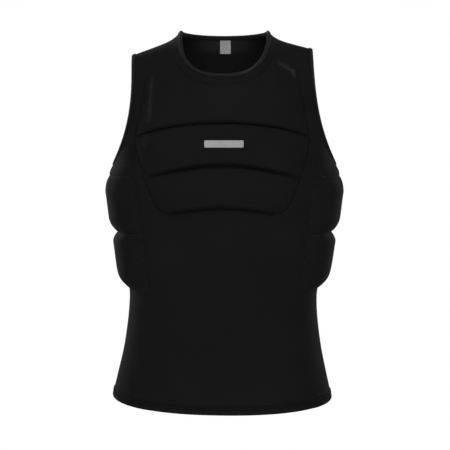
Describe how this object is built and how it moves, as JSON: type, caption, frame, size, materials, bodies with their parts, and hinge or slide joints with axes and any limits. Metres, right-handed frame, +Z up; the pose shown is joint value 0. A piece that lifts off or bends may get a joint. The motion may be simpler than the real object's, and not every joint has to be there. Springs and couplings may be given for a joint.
{
  "type": "sleeveless impact vest",
  "caption": "Sleeveless padded neoprene vest for water sports, shown in its worn form, with foam pads on the chest, back and sides.",
  "frame": {"origin": "where the vest sits on the wearer's shoulders: midway between the two straps, at the height of their inner face halfway along them", "axes": "+Z up along the body, -Y out of the front, +X to the right of someone who looks at the front"},
  "size_m": [0.4174, 0.2546, 0.6599],
  "materials": {
    "neoprene": "matt black knitted face over neoprene",
    "pad_cover": "matt black stretch cover over foam",
    "binding": "matt black folded edge tape",
    "badge": "plain grey, slightly satin",
    "label": "plain light grey, smooth"
  },
  "bodies": {
    "root": {"front_panel": "neoprene", "back_panel": "neoprene", "chest_pad_upper": "pad_cover", "chest_pad_middle": "pad_cover", "chest_pad_lower": "pad_cover", "back_pad_upper": "pad_cover", "back_pad_middle": "pad_cover", "back_pad_lower": "pad_cover", "side_pad_upper_left": "pad_cover", "side_pad_lower_left": "pad_cover", "side_pad_upper_right": "pad_cover", "side_pad_lower_right": "pad_cover", "armhole_binding_left": "binding", "armhole_binding_right": "binding", "neck_binding": "binding", "hem_band": "neoprene", "chest_badge": "badge", "neck_label": "label"}
  },
  "joints": []
}
